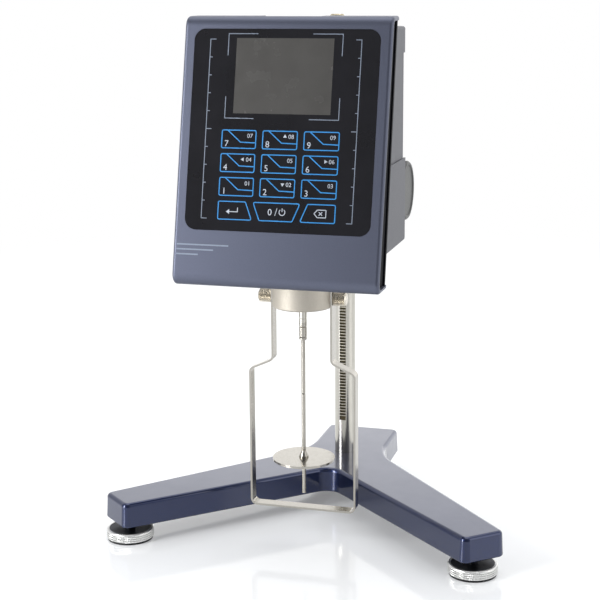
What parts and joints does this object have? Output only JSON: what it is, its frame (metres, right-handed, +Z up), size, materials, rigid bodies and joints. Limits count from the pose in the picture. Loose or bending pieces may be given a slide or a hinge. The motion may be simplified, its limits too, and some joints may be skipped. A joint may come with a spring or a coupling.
{
  "type": "rotational viscometer",
  "caption": "Bench rotational viscometer: tilted touch-panel head with disc spindle and guard leg, raised by rack and knob on a column over a three-legged levelling base.",
  "frame": {"origin": "on the table, at the middle of the instrument's footprint", "axes": "+Z up along the column, -Y towards the operator, +X to the operator's right"},
  "size_m": [0.3096, 0.2697, 0.3982],
  "materials": {
    "cast_paint": "dark blue metallic paint",
    "cover_paint": "dark slate blue metallic paint",
    "housing_paint": "grey satin paint",
    "dark_cheek": "dark blue-black moulded plastic",
    "panel_glass": "black back-printed glass",
    "display": "dark display",
    "board": "green circuit board",
    "column_steel": "ground steel",
    "blasted_steel": "bead-blasted steel",
    "knurled_steel": "knurled bright steel",
    "screw_steel": "blackened steel",
    "spring_steel": "blued spring steel",
    "bearing_brass": "turned brass",
    "clamp_alloy": "grey anodised aluminium",
    "black_plastic": "black moulded plastic",
    "knob_plastic": "dark grey fluted plastic",
    "foot_rubber": "black rubber",
    "level_liquid": "yellow-green liquid under a clear window",
    "level_metal": "bright metal"
  },
  "bodies": {
    "stand": {"base_casting": "cast_paint", "column": "column_steel", "rack": "column_steel", "column_bolt": "screw_steel", "column_cap": "black_plastic"},
    "head": {"front_cover": "cover_paint", "touch_panel": "panel_glass", "display_module": "display", "key_board": "board", "cheek_left": "dark_cheek", "cheek_right": "dark_cheek", "rear_housing": "housing_paint", "top_cap": "housing_paint", "bottom_plate": "housing_paint", "side_plate_left": "housing_paint", "side_plate_right": "housing_paint", "rear_panel": "housing_paint", "power_inlet": "black_plastic", "switch_bezel": "black_plastic", "data_socket": "black_plastic", "probe_socket": "black_plastic", "hub": "blasted_steel", "guard": "column_steel", "lower_bearing": "bearing_brass", "motor_bracket": "clamp_alloy", "drive_motor": "black_plastic", "clamp_block": "clamp_alloy", "clamp_bush": "black_plastic", "tension_screw": "screw_steel", "level_ring": "level_metal", "level_vial": "level_liquid", "main_board": "board"},
    "spindle": {"measuring_spindle": "column_steel", "pivot_shaft": "column_steel", "torque_spring": "spring_steel"},
    "drive": {"motor_rotor": "column_steel"},
    "knob": {"pinion_shaft": "column_steel", "height_knob": "knob_plastic"},
    "guard_screw_left": {"thumbscrew_left": "knurled_steel"},
    "guard_screw_right": {"thumbscrew_right": "knurled_steel"},
    "switch": {"switch_rocker": "black_plastic"},
    "foot_left": {"foot_disc_left": "knurled_steel", "foot_pad_left": "foot_rubber"},
    "foot_right": {"foot_disc_right": "knurled_steel", "foot_pad_right": "foot_rubber"},
    "foot_rear": {"foot_disc_rear": "knurled_steel", "foot_pad_rear": "foot_rubber"}
  },
  "joints": [
    {"name": "head_height", "type": "slide", "parent": "stand", "child": "head", "axis": [0, 0, 1], "range_m": [-0.024, 0.088]},
    {"name": "knob_turn", "type": "hinge", "parent": "head", "child": "knob", "pos_m": [0, 0.05198, 0.2583], "axis": [1, 0, 0], "range_deg": [-789, 216]},
    {"name": "spindle_spin", "type": "hinge", "parent": "head", "child": "spindle", "pos_m": [0, -0.06062, 0.17415], "axis": [0, 0, 1], "continuous": true},
    {"name": "motor_spin", "type": "hinge", "parent": "head", "child": "drive", "pos_m": [0, -0.06062, 0.259], "axis": [0, 0, 1], "continuous": true},
    {"name": "guard_screw_left_turn", "type": "hinge", "parent": "head", "child": "guard_screw_left", "pos_m": [-0.0225, -0.06062, 0.1932], "axis": [1, 0, 0], "range_deg": [-360, 360]},
    {"name": "guard_screw_right_turn", "type": "hinge", "parent": "head", "child": "guard_screw_right", "pos_m": [0.0225, -0.06062, 0.1932], "axis": [1, 0, 0], "range_deg": [-360, 360]},
    {"name": "power_switch_rock", "type": "hinge", "parent": "head", "child": "switch", "pos_m": [-0.003, 0.00138, 0.32998], "axis": [1, 0, 0], "range_deg": [-6, 6]},
    {"name": "foot_left_turn", "type": "hinge", "parent": "stand", "child": "foot_left", "pos_m": [-0.1338, -0.08442, 0.0135], "axis": [0, 0, 1], "range_deg": [-360, 360]},
    {"name": "foot_right_turn", "type": "hinge", "parent": "stand", "child": "foot_right", "pos_m": [0.1338, -0.08442, 0.0135], "axis": [0, 0, 1], "range_deg": [-360, 360]},
    {"name": "foot_rear_turn", "type": "hinge", "parent": "stand", "child": "foot_rear", "pos_m": [0, 0.11088, 0.0135], "axis": [0, 0, 1], "range_deg": [-360, 360]}
  ],
  "couplings": [
    {"joint": "knob_turn", "follows": "head_height", "rad_per_m": -156.25},
    {"joint": "motor_spin", "follows": "spindle_spin", "ratio": 1}
  ]
}
